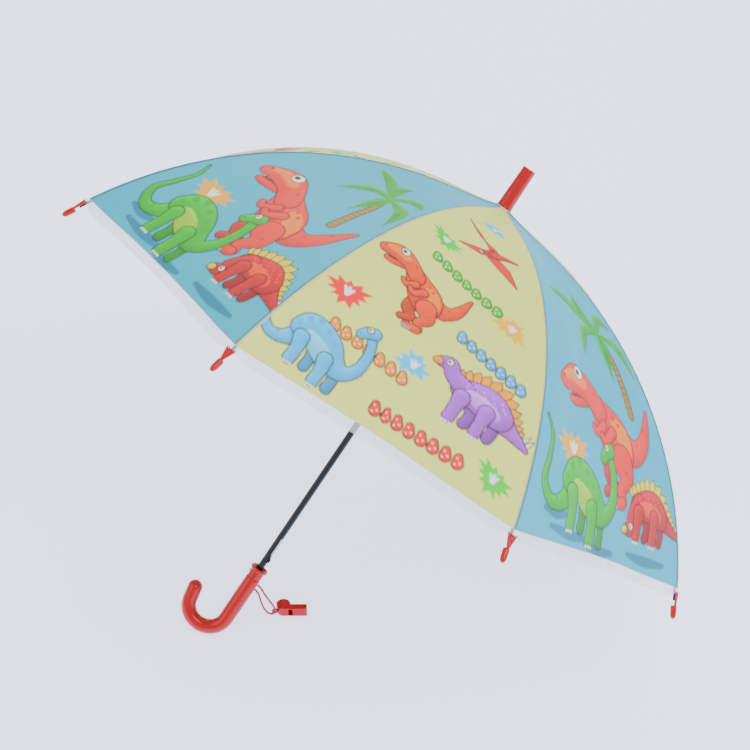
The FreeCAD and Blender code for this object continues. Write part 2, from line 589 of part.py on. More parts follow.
def make_whistle():
    """A pea whistle lying on its side: round chamber, mouthpiece, window and ring for the cord."""
    place = Placement(WHISTLE_SPOT, Rotation(UP, WHISTLE_HEADING))
    barrel = solid("Cylinder", "whistle_barrel", Radius="dims.whistle_radius",
                   Height="dims.whistle_height")
    mouth = solid("Box", "whistle_mouth", at(0, -size("whistle_radius"), 0),
                  Length="dims.mouth_length", Width="dims.mouth_depth", Height="dims.whistle_height")
    reach = Vector(size("whistle_radius") + size("lug_radius") + 0.5, 0, size("whistle_height") / 2)
    lug_place = Placement(Rotation(UP, LUG_HEADING - WHISTLE_HEADING).multVec(reach), NO_TURN)
    lug = solid("Torus", "whistle_lug", lug_place, Radius1="dims.lug_radius",
                Radius2="dims.lug_wire")
    wall = size("whistle_wall")
    chamber = solid("Cylinder", "whistle_chamber", at(z=wall),
                    Radius="dims.whistle_radius - dims.whistle_wall",
                    Height="dims.whistle_height - 2 * dims.whistle_wall")
    window = solid("Box", "whistle_window",
                   at(size("whistle_radius") - 2, -size("whistle_radius") - 1, wall),
                   Length="dims.window_length", Width="dims.mouth_depth - dims.whistle_wall",
                   Height="dims.whistle_height - 2 * dims.whistle_wall")
    airway = solid("Box", "whistle_airway",
                   at(size("whistle_radius") - 2, -size("whistle_radius") + wall, wall),
                   Length="dims.mouth_length", Width="dims.airway",
                   Height="dims.whistle_height - 2 * dims.whistle_wall")
    body = cut("whistle_cut", fuse("whistle_solid", barrel, mouth, lug), chamber, window, airway)
    body.Label = "whistle_body"
    body.Placement = place
    pea = solid("Sphere", "whistle_pea_ball", Radius="dims.pea_radius")
    pea.Label = "whistle_pea"
    pea.Placement = place.multiply(at(-1, -1, wall + size("pea_radius") + 0.2))
    sub_parts.extend([body, pea])


def rounded_path(points):
    """Straight runs joined by tangent arcs, each as large as its two runs allow."""
    edges = []
    start = points[0]
    for before, corner, after in zip(points, points[1:], points[2:]):
        inward = (before - corner).normalize()
        outward = (after - corner).normalize()
        half_turn = (math.pi - inward.getAngle(outward)) / 2
        short_run = min((before - corner).Length, (after - corner).Length)
        trim = 0.45 * short_run
        radius = trim / math.tan(half_turn)
        first = corner + inward * trim
        last = corner + outward * trim
        bisector = (inward + outward).normalize()
        middle = corner + bisector * (radius / math.cos(half_turn) - radius)
        print("whistle cord arc radius %.1f mm" % radius)
        edges.append(Part.LineSegment(start, first).toShape())
        edges.append(Part.Arc(first, middle, last).toShape())
        start = last
    edges.append(Part.LineSegment(start, points[-1]).toShape())
    return Part.Wire(edges)


def make_cord():
    """The whistle's cord as one round tube along its route."""
    path = rounded_path(CORD_ROUTE)
    heading = (CORD_ROUTE[1] - CORD_ROUTE[0]).normalize()
    ring = Part.Wire([Part.makeCircle(size("cord_radius"), CORD_ROUTE[0], heading)])
    cord = doc.addObject("Part::Feature", "whistle_cord_solid")
    cord.Shape = path.makePipeShell([ring], True, False)
    expected = math.pi * size("cord_radius") ** 2 * path.Length
    print("whistle cord %.1f mm long, volume share %.3f" % (path.Length, cord.Shape.Volume / expected))
    cord.Label = "whistle_cord"
    sub_parts.append(cord)


# ---------------------------------------------------------------- build everything
make_shaft()
make_ferrule()
make_crown()
make_runner()
make_stop_pin()
make_catch("upper_catch", UPPER_CATCH_TOP, True)
make_catch("lower_catch", -size("lower_catch_top"), False)
make_handle()
for index in range(RIB_COUNT):
    around = round_shaft(FIRST_RIB + RIB_STEP * index)
    make_rib_inner(index + 1, around)
    make_rib_outer(index + 1, around)
    make_stretcher(index + 1, around)
    make_rib_tip(index + 1, around)
    make_canopy_panel(index + 1, around)
doc.recompute()


# The origin moves to the floor under the middle of the umbrella.
frame_box = FreeCAD.BoundBox()
for item in sub_parts:
    frame_box.add(item.Shape.optimalBoundingBox(False, False))
STAND = at(-frame_box.Center.x, -frame_box.Center.y, -frame_box.ZMin)
for item in sub_parts:
    item.Placement = STAND.multiply(item.Placement)
make_whistle()
make_cord()
doc.recompute()

# ---------------------------------------------------------------- check and write
for item in doc.Objects:
    if "Invalid" in item.State or "Error" in item.State:
        raise RuntimeError("%s failed: %s" % (item.Label, item.State))
for item in sub_parts:
    if item.Shape.isNull() or not item.Shape.isValid():
        raise RuntimeError("%s has no valid shape" % item.Label)
for item in sub_parts:
    item.Shape.exportStep(os.path.join("parts", item.Label + ".step"))
    print(item.Label, len(item.Shape.Solids), round(item.Shape.Volume, 1))


# ---------------------------------------------------------------- places that joints and mounts need
def told(name, point):
    """Print a point of the umbrella's own frame as metres in the finished frame."""
    place = STAND.multVec(LEAN.multVec(point))
    print(name, [round(number / 1000, 6) for number in place])


told("origin of the shaft", Vector(0, 0, 0))
told("hinge", HINGE)
told("joint", JOINT)
told("flex", on_bow(RIB_BOW, JOINT_TURN))
told("runner pivot", Vector(0, 0, RUNNER_PIVOT))
told("upper catch top", Vector(0, -size("shaft_radius"), UPPER_CATCH_TOP))
for hole in ("upper_cord_hole", "lower_cord_hole"):
    level = -size("collar_top") - size("collar_height") - size(hole)
    told(hole, round_shaft(size("cord_azimuth")).multVec(Vector(size("grip_radius"), 0, level)))
print("travel %.4f mm, turn per metre %.6f rad" % (TRAVEL, math.radians(size("close_turn")) / TRAVEL * 1000))
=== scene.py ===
import json
import math
import bpy
import numpy as np
from mathutils import Matrix, Vector


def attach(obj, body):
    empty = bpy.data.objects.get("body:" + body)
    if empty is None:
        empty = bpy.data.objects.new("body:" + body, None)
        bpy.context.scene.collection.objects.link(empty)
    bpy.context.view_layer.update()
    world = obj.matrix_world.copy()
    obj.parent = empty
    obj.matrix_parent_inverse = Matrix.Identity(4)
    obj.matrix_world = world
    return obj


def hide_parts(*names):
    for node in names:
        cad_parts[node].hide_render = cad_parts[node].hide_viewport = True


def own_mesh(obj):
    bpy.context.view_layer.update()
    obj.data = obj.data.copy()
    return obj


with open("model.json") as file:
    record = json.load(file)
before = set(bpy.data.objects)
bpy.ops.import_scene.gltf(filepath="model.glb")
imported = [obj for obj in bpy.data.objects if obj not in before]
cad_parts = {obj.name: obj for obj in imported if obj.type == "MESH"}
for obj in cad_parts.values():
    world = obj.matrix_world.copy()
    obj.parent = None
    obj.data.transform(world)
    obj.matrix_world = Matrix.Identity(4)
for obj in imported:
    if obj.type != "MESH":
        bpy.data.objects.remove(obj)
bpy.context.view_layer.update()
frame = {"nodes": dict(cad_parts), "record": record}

# ---------------------------------------------------------------- places taken from the frame
record = frame["record"]
mounts = {mount["name"]: mount for mount in record["mounts"]}
FERRULE_TOP = 0.0609                    # level of the ferrule's end above the canopy's top
UP = np.array(mounts["ferrule_end"]["axis"])
ORIGIN = np.array(mounts["ferrule_end"]["pos_m"]) - FERRULE_TOP * UP
LOW_SIDE = np.array([UP[2], 0.0, -UP[0]])   # azimuth 0 of the umbrella faces the floor
FAR_SIDE = np.array([0.0, 1.0, 0.0])

RIBS = 8
RIB_STEP = math.tau / RIBS
BOW = 0.4763                            # radius of the film's arc along a rib
PITCH = 0.008                           # where that arc starts beside the shaft
PRINT_TURN = math.radians(57.6)         # the print's share of that arc
PRINT_LENGTH = BOW * PRINT_TURN
JOINT_LENGTH = PRINT_LENGTH / 2
HEM_WIDTH = 0.0115
HEM_NOTCH = 0.0060                      # the hem is this much narrower at a rib
TIP_START = PRINT_LENGTH + 0.008
RIB_DEPTH = 0.0026                      # rib centre line below the film
MM = 0.001


def umbrella_point(azimuth, radius, level):
    """Row-frame points from azimuth, radius and level about the shaft; arrays broadcast."""
    azimuth, radius, level = np.broadcast_arrays(azimuth, radius, level)
    return (ORIGIN + (radius * np.cos(azimuth))[..., None] * LOW_SIDE
            + (radius * np.sin(azimuth))[..., None] * FAR_SIDE + level[..., None] * UP)


def rib_azimuth(number):
    """Azimuth of rib 1 to 8."""
    return RIB_STEP / 2 + RIB_STEP * (number - 1)


def linear(red, green, blue):
    """Linear colour from display values of 0 to 255."""
    value = np.array([red, green, blue]) / 255.0
    return np.where(value < 0.04045, value / 12.92, ((value + 0.055) / 1.055) ** 2.4)


def rib_ways(number):
    """Unit ways out along a rib, square to the shaft, and sideways from it."""
    azimuth = rib_azimuth(number)
    return (math.cos(azimuth) * LOW_SIDE + math.sin(azimuth) * FAR_SIDE,
            -math.sin(azimuth) * LOW_SIDE + math.cos(azimuth) * FAR_SIDE)


# ---------------------------------------------------------------- camera, floor and light
CAMERA_PLACE = (-0.80447, -1.23098, 1.43944)
CAMERA_AHEAD = (0.42523, 0.66259, -0.61657)
CAMERA_ROLL = math.radians(-1.16)
LENS, SENSOR = 76.8, 36.0                # mm
FLOOR_WIDTH = 14
FLOOR_GLOW, SKY_STRENGTH = 2.2, 0.95
LAMPS = (("key_light", (0.3, -1.6, 2.3), (0.0, 0.0, 0.25), 46, 1.8),
         ("fill_light", (-2.4, 0.4, 1.7), (0.0, 0.0, 0.25), 22, 2.2),
         ("back_light", (1.5, 1.8, 2.0), (0.0, 0.0, 0.3), 30, 2.0))


def make_camera():
    """The camera stands at the near left, a little above the umbrella, and leans by a degree."""
    data = bpy.data.cameras.new("camera")
    data.lens = LENS
    data.sensor_width = SENSOR
    camera = bpy.data.objects.new("camera", data)
    ahead = Vector(CAMERA_AHEAD).normalized()
    level = ahead.cross(Vector((0, 0, 1))).normalized()
    above = level.cross(ahead)
    right = level * math.cos(CAMERA_ROLL) + above * math.sin(CAMERA_ROLL)
    top = right.cross(ahead)
    turn = Matrix((right, top, -ahead)).transposed()
    camera.matrix_world = Matrix.Translation(CAMERA_PLACE) @ turn.to_4x4()
    bpy.context.scene.collection.objects.link(camera)
    bpy.context.scene.camera = camera


def make_studio():
    """A wide pale floor, a pale sky and three large soft lamps."""
    bpy.ops.mesh.primitive_plane_add(size=FLOOR_WIDTH)
    floor = bpy.context.object
    floor.name = "studio_floor"
    shader = Shader("pale_floor")
    cloud = shader.noise(0.6, 2.0)
    shader.finish(base=shader.mix(cloud, linear(228, 230, 240), linear(234, 236, 244)),
                  roughness=0.85, specular=0.2, emission=linear(196, 202, 238), glow=FLOOR_GLOW)
    floor.data.materials.append(shader.material)
    world = bpy.data.worlds.new("studio")
    world.use_nodes = True
    sky = world.node_tree.nodes["Background"]
    sky.inputs["Color"].default_value = (*linear(232, 233, 243), 1)
    sky.inputs["Strength"].default_value = SKY_STRENGTH
    bpy.context.scene.world = world
    for name, place, aim, power, width in LAMPS:
        data = bpy.data.lights.new(name, "AREA")
        data.energy = power
        data.size = width
        lamp = bpy.data.objects.new(name, data)
        lamp.location = place
        lamp.rotation_euler = (Vector(aim) - Vector(place)).to_track_quat("-Z", "Y").to_euler()
        bpy.context.scene.collection.objects.link(lamp)


# ---------------------------------------------------------------- shader maths
class Socket:
    """A node's output in a material, with arithmetic that adds Math nodes."""

    def __init__(self, shader, link):
        self.shader = shader
        self.link = link

    def maths(self, operation, *values):
        return self.shader.node("ShaderNodeMath", {"operation": operation}, values)

    def __add__(self, other):
        return self.maths("ADD", self, other)

    def __mul__(self, other):
        return self.maths("MULTIPLY", self, other)

    __radd__ = __add__
    __rmul__ = __mul__


class Shader:
    """One material: its nodes are made by a single method and wrapped as sockets."""

    def __init__(self, name):
        self.material = bpy.data.materials.new(name)
        self.material.use_nodes = True
        self.tree = self.material.node_tree
        self.surface = self.tree.nodes["Principled BSDF"]
        self.surface.label = name

    def node(self, kind, settings=None, inputs=(), output=0):
        """Add a node, set its settings first and then its sockets, and wrap one output."""
        made = self.tree.nodes.new(kind)
        for key, value in (settings or {}).items():
            setattr(made, key, value)
        pairs = inputs.items() if isinstance(inputs, dict) else enumerate(inputs)
        for key, value in pairs:
            self.put(made.inputs[key], value)
        return Socket(self, made.outputs[output])

    def put(self, socket, value):
        """Link or set one input."""
        if isinstance(value, Socket):
            self.tree.links.new(value.link, socket)
        elif socket.type == "RGBA":
            socket.default_value = (*value, 1)
        else:
            socket.default_value = value

    def coordinates(self, kind="Object"):
        return self.node("ShaderNodeTexCoord", output=kind)

    def noise(self, scale, detail=3.0, where=None, roughness=0.5):
        return self.node("ShaderNodeTexNoise", inputs={
            "Vector": where or self.coordinates(), "Scale": scale, "Detail": detail,
            "Roughness": roughness})

    def mix(self, share, first, second):
        """Mix two colours."""
        return self.node("ShaderNodeMix", {"data_type": "RGBA"},
                         {0: share, 6: first, 7: second}, output=2)

    def bump(self, height, strength, distance):
        return self.node("ShaderNodeBump", inputs={"Height": height, "Strength": strength,
                                                   "Distance": distance})

    def finish(self, base=None, roughness=None, metallic=None, normal=None, coat=None, alpha=None,
               specular=None, coat_roughness=None, sheen=None, emission=None, glow=None):
        """Feed the surface shader."""
        names = {"Base Color": base, "Roughness": roughness, "Metallic": metallic,
                 "Normal": normal, "Coat Weight": coat, "Alpha": alpha,
                 "Specular IOR Level": specular, "Coat Roughness": coat_roughness,
                 "Sheen Weight": sheen, "Emission Color": emission, "Emission Strength": glow}
        for name, value in names.items():
            if value is not None:
                if name.endswith("Color") and not isinstance(value, Socket):
                    value = tuple(float(part) for part in value)
                self.put(self.surface.inputs[name], value)
        return self.material


# ---------------------------------------------------------------- materials
def moulded_plastic(name, colour, roughness=0.2, coat=0.2):
    """Glossy moulded plastic: a faint flow pattern in its colour, gloss and surface."""
    shader = Shader(name)
    cloud = shader.noise(26.0, 2.0)
    grain = shader.noise(900.0, 2.0)
    deep = tuple(np.array(colour) * 0.86)
    base = shader.mix(cloud, deep, colour)
    shade = cloud * 0.10 + grain * 0.06 + (roughness - 0.08)
    normal = shader.bump(cloud * 0.8 + grain * 0.05, 0.25, 0.0006)
    return shader.finish(base=base, roughness=shade, normal=normal, coat=coat, coat_roughness=0.08,
                         specular=0.32)


def painted_steel(name, colour, roughness):
    """Black stove enamel on steel: orange-peel surface and faint rubbed streaks."""
    shader = Shader(name)
    peel = shader.noise(420.0, 3.0)
    wear = shader.noise(60.0, 5.0, roughness=0.7)
    base = shader.mix(wear, colour, tuple(np.array(colour) * 2.2 + 0.004))
    return shader.finish(base=base, roughness=wear * 0.16 + roughness, metallic=0.0,
                         normal=shader.bump(peel, 0.18, 0.0004), coat=0.15, coat_roughness=0.12,
                         specular=0.3)


def bright_steel(name, colour, roughness):
    """Drawn steel with fine lengthwise scratches."""
    shader = Shader(name)
    where = shader.node("ShaderNodeMapping", inputs={"Vector": shader.coordinates(),
                                                     "Scale": (300.0, 2600.0, 300.0)})
    scratch = shader.noise(1.0, 4.0, where)
    base = shader.mix(scratch, tuple(np.array(colour) * 0.75), colour)
    return shader.finish(base=base, roughness=scratch * 0.2 + roughness, metallic=1.0,
                         normal=shader.bump(scratch, 0.2, 0.0002))


def canopy_cloth():
    """Printed film: its print is a colour attribute, under a faint weave and soft creases."""
    shader = Shader("printed_canopy")
    printed = shader.node("ShaderNodeAttribute", {"attribute_name": "print"}, output="Color")
    cloth = shader.coordinates("UV")
    warp = shader.node("ShaderNodeTexWave", {"bands_direction": "X"},
                       {"Vector": cloth, "Scale": 420.0, "Distortion": 0.3, "Detail": 1.0})
    weft = shader.node("ShaderNodeTexWave", {"bands_direction": "Y"},
                       {"Vector": cloth, "Scale": 420.0, "Distortion": 0.3, "Detail": 1.0})
    weave = warp * 0.5 + weft * 0.5
    crease = shader.noise(18.0, 3.0)
    fleck = shader.noise(240.0, 2.0)
    faded = shader.mix(weave * 0.02 + fleck * 0.03, printed, (0.92, 0.95, 0.93))
    normal = shader.bump(weave * 0.12 + crease * 2.2, 0.35, 0.0008)
    return shader.finish(base=faded, roughness=crease * 0.14 + 0.44, normal=normal, specular=0.3)


def clear_hem():
    """Frosted clear film, whiter at its folds and stitched lines."""
    shader = Shader("clear_hem_film")
    line = shader.node("ShaderNodeAttribute", {"attribute_name": "print"}, output="Color")
    haze = shader.noise(160.0, 4.0)
    frost = shader.noise(1400.0, 2.0)
    milky = shader.mix(haze * 0.35, line, (0.80, 0.82, 0.87))
    return shader.finish(base=milky, roughness=haze * 0.2 + 0.22, alpha=haze * 0.2 + 0.34,
                         normal=shader.bump(haze * 0.8 + frost * 0.3, 0.3, 0.0006), coat=0.4,
                         coat_roughness=0.15)


def braided_cord():
    """Red braided cord: slanting strands and a little fuzz."""
    shader = Shader("braided_cord")
    where = shader.coordinates()
    strands = shader.node("ShaderNodeTexWave", {"bands_direction": "DIAGONAL"},
                          {"Vector": where, "Scale": 420.0, "Distortion": 2.0, "Detail": 2.0})
    fuzz = shader.noise(2200.0, 2.0)
    base = shader.mix(strands * 0.7, linear(150, 10, 10), linear(232, 40, 34))
    return shader.finish(base=base, roughness=fuzz * 0.2 + 0.6,
                         normal=shader.bump(strands + fuzz * 0.4, 0.6, 0.0006), sheen=0.4)


# ---------------------------------------------------------------- mesh making
def mesh_piece(name, points, faces, material):
    """A smooth mesh object from an array of points and a list of faces."""
    mesh = bpy.data.meshes.new(name)
    mesh.from_pydata(points.reshape(-1, 3).tolist(), [], faces)
    mesh.polygons.foreach_set("use_smooth", np.ones(len(mesh.polygons), bool))
    mesh.materials.append(material)
    mesh.update()
    piece = bpy.data.objects.new(name, mesh)
    bpy.context.scene.collection.objects.link(piece)
    return piece


def grid_faces(rows, columns, ring=False, flip=False):
    """Quads between neighbouring rows and columns of a grid; a ring joins last column to first."""
    last = columns if ring else columns - 1
    row, column = np.meshgrid(np.arange(rows - 1), np.arange(last), indexing="ij")
    after = (column + 1) % columns
    quads = np.stack([row * columns + column, row * columns + after,
                      (row + 1) * columns + after, (row + 1) * columns + column], axis=-1)
    quads = quads.reshape(-1, 4)
    return (quads[:, ::-1] if flip else quads).tolist()


def carried(name, path, sides, radii, material, sections=None, first_side=None):
    """A round profile carried along a path of points, its radius given at each point, with closed
    ends; sections may scale the profile's two directions at each point."""
    path = np.asarray(path, float)
    heading = np.gradient(path, axis=0)
    heading /= np.linalg.norm(heading, axis=1)[:, None]
    side = np.array(first_side if first_side is not None else np.cross(heading[0], [0.3, 0.5, 0.8]))
    sides_along = []
    for direction in heading:
        side = side - direction * (side @ direction)
        side = side / np.linalg.norm(side)
        sides_along.append(side)
    side = np.array(sides_along)
    other = np.cross(heading, side)
    angle = np.arange(sides) * math.tau / sides
    radii = np.broadcast_to(radii, len(path))
    scale = np.ones((len(path), 2)) if sections is None else np.asarray(sections)
    points = (path[:, None] + (radii * scale[:, 0])[:, None, None]
              * np.cos(angle)[None, :, None] * side[:, None]
              + (radii * scale[:, 1])[:, None, None]
              * np.sin(angle)[None, :, None] * other[:, None])
    faces = grid_faces(len(path), sides, ring=True)
    faces.append(list(range(sides))[::-1])
    faces.append(list(range((len(path) - 1) * sides, len(path) * sides)))
    return mesh_piece(name, points, faces, material)


def turned(name, outline, material, sides=96):
    """A closed outline of radius and level, turned about the shaft's axis."""
    outline = np.asarray(outline, float)
    angle = np.arange(sides) * math.tau / sides
    points = umbrella_point(angle[None, :], outline[:, :1], outline[:, 1:])
    count = len(outline)
    faces = grid_faces(count, sides, ring=True, flip=True)
    closing = np.arange(sides)
    after = (closing + 1) % sides
    base = (count - 1) * sides
    faces += np.stack([base + closing, closing, after, base + after], axis=-1)[:, ::-1].tolist()
    return mesh_piece(name, points, faces, material)


def rounded(corners, radii, steps=6):
    """An outline with each corner rounded by an arc-like curve of the given reach."""
    corners = np.asarray(corners, float)
    out = []
    share = np.linspace(0, 1, steps)[:, None]
    for index, corner in enumerate(corners):
        before = corners[index - 1] - corner
        after = corners[(index + 1) % len(corners)] - corner
        reach = radii[index]
        if reach <= 0:
            out.append(corner[None])
            continue
        start = corner + before / np.linalg.norm(before) * reach
        end = corner + after / np.linalg.norm(after) * reach
        out.append(start * (1 - share) ** 2 + corner * 2 * share * (1 - share) + end * share ** 2)
    return np.concatenate(out)


def show(piece, body, slot, *nodes):
    """A piece rides on a body and may stand for CAD nodes; the slot argument is not used."""
    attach(piece, body)
    if nodes:
        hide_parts(*nodes)


# ---------------------------------------------------------------- the printed pictures
INK = linear(58, 26, 20)
SOFT_EDGE = 1.1                         # millimetres over which one colour gives way to the next


class Print:
    """The colours of one stretch of cloth, painted shape by shape.  across and down are
    millimetres from the gore's middle line and from the canopy's top."""

    def __init__(self, across, down, ground):
        self.across = across
        self.down = down
        self.colour = np.broadcast_to(ground, across.shape + (3,)).copy()

    def near(self, points, margin):
        """The indices of the cloth near a set of points."""
        low = points.min(axis=0) - margin
        high = points.max(axis=0) + margin
        return np.nonzero((self.across > low[0]) & (self.across < high[0])
                          & (self.down > low[1]) & (self.down < high[1]))

    def lay(self, where, distance, colour, shade=None):
        """Cover the cloth where a distance is negative, with a soft edge."""
        cover = np.clip(0.5 - distance / SOFT_EDGE, 0, 1)[:, None]
        paint = np.broadcast_to(colour, (len(distance), 3))
        if shade is not None:
            paint = paint * shade[:, None]
        self.colour[where] = self.colour[where] * (1 - cover) + paint * cover

    def stroke(self, spine, colour, ink=True, flat=False):
        """A limb: discs whose size runs smoothly along a spine of (across, down, radius)."""
        spine = smooth_spine(np.asarray(spine, float))
        where = self.near(spine[:, :2], spine[:, 2].max() + 3)
        if not len(where[0]):
            return
        offset_across = self.across[where][:, None] - spine[:, 0]
        offset_down = self.down[where][:, None] - spine[:, 1]
        gaps = np.hypot(offset_across, offset_down) - spine[:, 2]
        closest = gaps.argmin(axis=1)
        distance = gaps[np.arange(len(closest)), closest]
        if ink:
            self.lay(where, distance - 1.3, INK)
        lit = -(offset_across * 0.5 + offset_down * 0.85)[np.arange(len(closest)), closest]
        lit = np.clip(lit / np.maximum(spine[closest, 2], 1.0), -1, 1)
        shade = None if flat else 0.86 + 0.24 * lit + 0.10 * (lit > 0.45)
        self.lay(where, distance, colour, shade)

    def patch(self, corners, colour, ink=True):
        """A straight-sided patch through its corners, listed in order."""
        corners = np.asarray(corners, float)
        where = self.near(corners, 3)
        if not len(where[0]):
            return
        across, down = self.across[where], self.down[where]
        closest = np.full(len(across), 1e9)
        inside = np.zeros(len(across), bool)
        for start, end in zip(corners, np.roll(corners, -1, axis=0)):
            edge = end - start
            along = ((across - start[0]) * edge[0] + (down - start[1]) * edge[1]) / (edge @ edge)
            along = np.clip(along, 0, 1)
            gap = np.hypot(across - start[0] - along * edge[0], down - start[1] - along * edge[1])
            closest = np.minimum(closest, gap)
            crosses = (start[1] > down) != (end[1] > down)
            rise = end[1] - start[1] if end[1] != start[1] else 1e-9
            inside ^= crosses & (across < start[0] + (down - start[1]) * edge[0] / rise)
        distance = np.where(inside, -closest, closest)
        if ink:
            self.lay(where, distance - 1.1, INK)
        self.lay(where, distance, colour)

    def disc(self, across, down, radius, colour, ink=False):
        self.stroke([(across, down, radius)] * 2, colour, ink=ink, flat=True)

    def burst(self, across, down, size, colour, points=11, slant=0.0):
        """A spiky star of uneven points with a pale footprint on it."""
        turn = np.arange(2 * points) * math.pi / points
        reach = size * np.where(np.arange(2 * points) % 2, 0.62, 1.0)
        reach = reach * (1 + 0.16 * np.sin(turn * 3 + across))
        x = across + reach * 1.25 * np.cos(turn)
        y = down + reach * 0.9 * np.sin(turn) + slant * (x - across)
        self.patch(np.stack([x, y], axis=1), colour, ink=False)
        self.footprint(across, down + 0.1 * size, size * 0.42, linear(252, 252, 248))

    def footprint(self, across, down, size, colour):
        """A three-toed footprint."""
        for way in (-0.65, 0.0, 0.65):
            self.stroke([(across, down, size * 0.36),
                         (across + math.sin(way) * size, down - math.cos(way) * size, size * 0.15)],
                        colour, ink=False, flat=True)
        self.stroke([(across, down, size * 0.34)] * 2, colour, ink=False, flat=True)

    def eggs(self, across, down, count, step, size, colour, slant=0.0):
        """A row of speckled eggs."""
        for index in range(count):
            shift = (index - (count - 1) / 2) * step
            x, y = across + shift, down + slant * shift
            self.stroke([(x - 0.1 * size, y - 0.45 * size, 0.38 * size),
                         (x + 0.1 * size, y + 0.25 * size, 0.6 * size)], colour)
            for dx, dy in ((-0.2, -0.3), (0.3, 0.1), (-0.15, 0.45)):
                self.disc(x + dx * size, y + dy * size, 0.12 * size, linear(250, 246, 226))

    def eye(self, across, down, size):
        self.disc(across, down, size, linear(250, 250, 240), ink=True)
        self.disc(across - size * 0.25, down, size * 0.5, INK)


def smooth_spine(spine, steps=9):
    """Catmull-Rom points between the points of a spine."""
    padded = np.concatenate([spine[:1], spine, spine[-1:]])
    share = (np.arange(steps) / steps)[:, None]
    parts = []
    for before, start, end, after in zip(padded, padded[1:], padded[2:], padded[3:]):
        parts.append(0.5 * (2 * start + (end - before) * share
                            + (2 * before - 5 * start + 4 * end - after) * share ** 2
                            + (3 * start - before - 3 * end + after) * share ** 3))
    return np.concatenate(parts + [spine[-1:]])


def walker(cloth, across, down, size, colour, belly):
    """A stout two-legged dinosaur leaning left, with its tail curled up on the right."""
    def place(*spine):
        return [(across + x * size, down + y * size, r * size) for x, y, r in spine]

    dark = colour * 0.62
    cloth.stroke(place((2, 24, 10), (-4, 38, 6.5), (5, 47, 4.5), (-6, 53, 4)), dark)
    cloth.stroke(place((16, 14, 14), (33, 15, 10), (46, 3, 6.5), (54, -24, 1.6)), colour)
    cloth.stroke(place((-16, -12, 10), (-6, -2, 15), (6, 10, 20), (12, 18, 17)), colour)
    cloth.stroke(place((-14, -4, 5), (-7, 8, 9), (0, 20, 8)), dark * 1.25, ink=False)
    cloth.stroke(place((8, -2, 5), (18, 8, 8), (22, 18, 5)), belly, ink=False)
    cloth.stroke(place((14, 25, 12), (21, 38, 7), (14, 48, 5), (17, 56, 4.5)), colour)
    cloth.stroke(place((16, 58, 4.5), (3, 60, 3.8)), colour)
    cloth.stroke(place((-30, -13, 7), (-42, -8, 5), (-49, -7, 3.6)), colour)
    cloth.stroke(place((-30, -15, 2.6), (-48, -11, 2.2)), linear(92, 16, 22), ink=False, flat=True)
    for shift in range(5):
        x, y = -50 + 4.4 * shift, -14.5 - 0.6 * shift
        cloth.patch([(across + (x + dx) * size, down + (y + dy) * size)
                     for dx, dy in ((-1.8, 0), (1.8, -0.4), (0, 3.6))],
                    linear(252, 252, 244), ink=False)
    cloth.stroke(place((-12, -8, 10), (-24, -19, 10.5), (-37, -25, 12.5), (-49, -22, 9),
                       (-56, -19, 6.5)), colour)
    cloth.stroke(place((-30, -24, 5), (-44, -27, 5), (-54, -24, 3)), belly, ink=False)
    cloth.stroke(place((-8, 3, 4), (-18, 11, 3), (-23, 7, 2.2)), colour)
    cloth.stroke(place((4, 6, 4.5), (-6, 15, 3.2), (-12, 12, 2.4)), colour)
    cloth.disc(across - 57 * size, down - 23 * size, 1.3 * size, INK)
    cloth.eye(across - 35 * size, down - 32 * size, 5 * size)
    for x, y in ((-17, -20), (-6, -14), (6, -6), (24, 2), (36, 8), (47, -8), (12, -2), (20, 34)):
        cloth.disc(across + x * size, down + y * size, 1.9 * size, dark)
    for x in (0, 4, 8):
        cloth.disc(across + x * size, down + 62 * size, 1.5 * size, linear(120, 190, 214))


def long_neck(cloth, across, down, size, colour, belly):
    """A four-legged dinosaur: its tail loops up on the left, its neck rises on the right."""
    def place(*spine):
        return [(across + x * size, down + y * size, r * size) for x, y, r in spine]

    dark = colour * 0.6
    for x, y in ((-2, 14), (32, 22)):
        cloth.stroke(place((x, y, 7), (x + 1, y + 14, 5.5), (x, y + 24, 6)), dark)
    cloth.stroke(place((-24, 6, 12), (-40, 21, 8), (-58, 23, 6), (-70, 6, 4.4), (-63, -18, 3),
                       (-59, -40, 2.2), (-66, -58, 0.9)), colour)
    cloth.stroke(place((-28, -2, 12), (-15, -10, 18), (4, 0, 21), (20, 14, 16), (38, 19, 9),
                       (51, 4, 6.6), (53, -22, 5.4), (46, -46, 5.4)), colour)
    cloth.stroke(place((-14, 2, 9), (2, 10, 12), (16, 20, 9)), belly, ink=False)
    for x, y in ((-22, 14), (14, 22)):
        cloth.stroke(place((x, y - 6, 9), (x + 2, y + 10, 7), (x + 1, y + 25, 7)), colour)
        for toe in (-4, 0, 4):
            cloth.disc(across + (x + 1 + toe) * size, down + (y + 31) * size, 1.7 * size,
                       linear(240, 238, 220))
    cloth.stroke(place((47, -50, 7.5), (40, -47, 7.4), (33, -40, 5.6)), colour)
    cloth.disc(across + 31 * size, down - 41 * size, 1.0 * size, INK)
    cloth.eye(across + 40 * size, down - 52 * size, 3.6 * size)
    for x, y, r in ((-32, -6, 3.4), (-24, -18, 4), (-12, -24, 4.4), (2, -18, 4), (14, -7, 3.6),
                    (26, 3, 3), (48, -32, 1.9), (53, -12, 2.2), (-48, 19, 2.4), (-66, 12, 1.8)):
        cloth.disc(across + x * size, down + y * size, r * size, dark * 1.3)


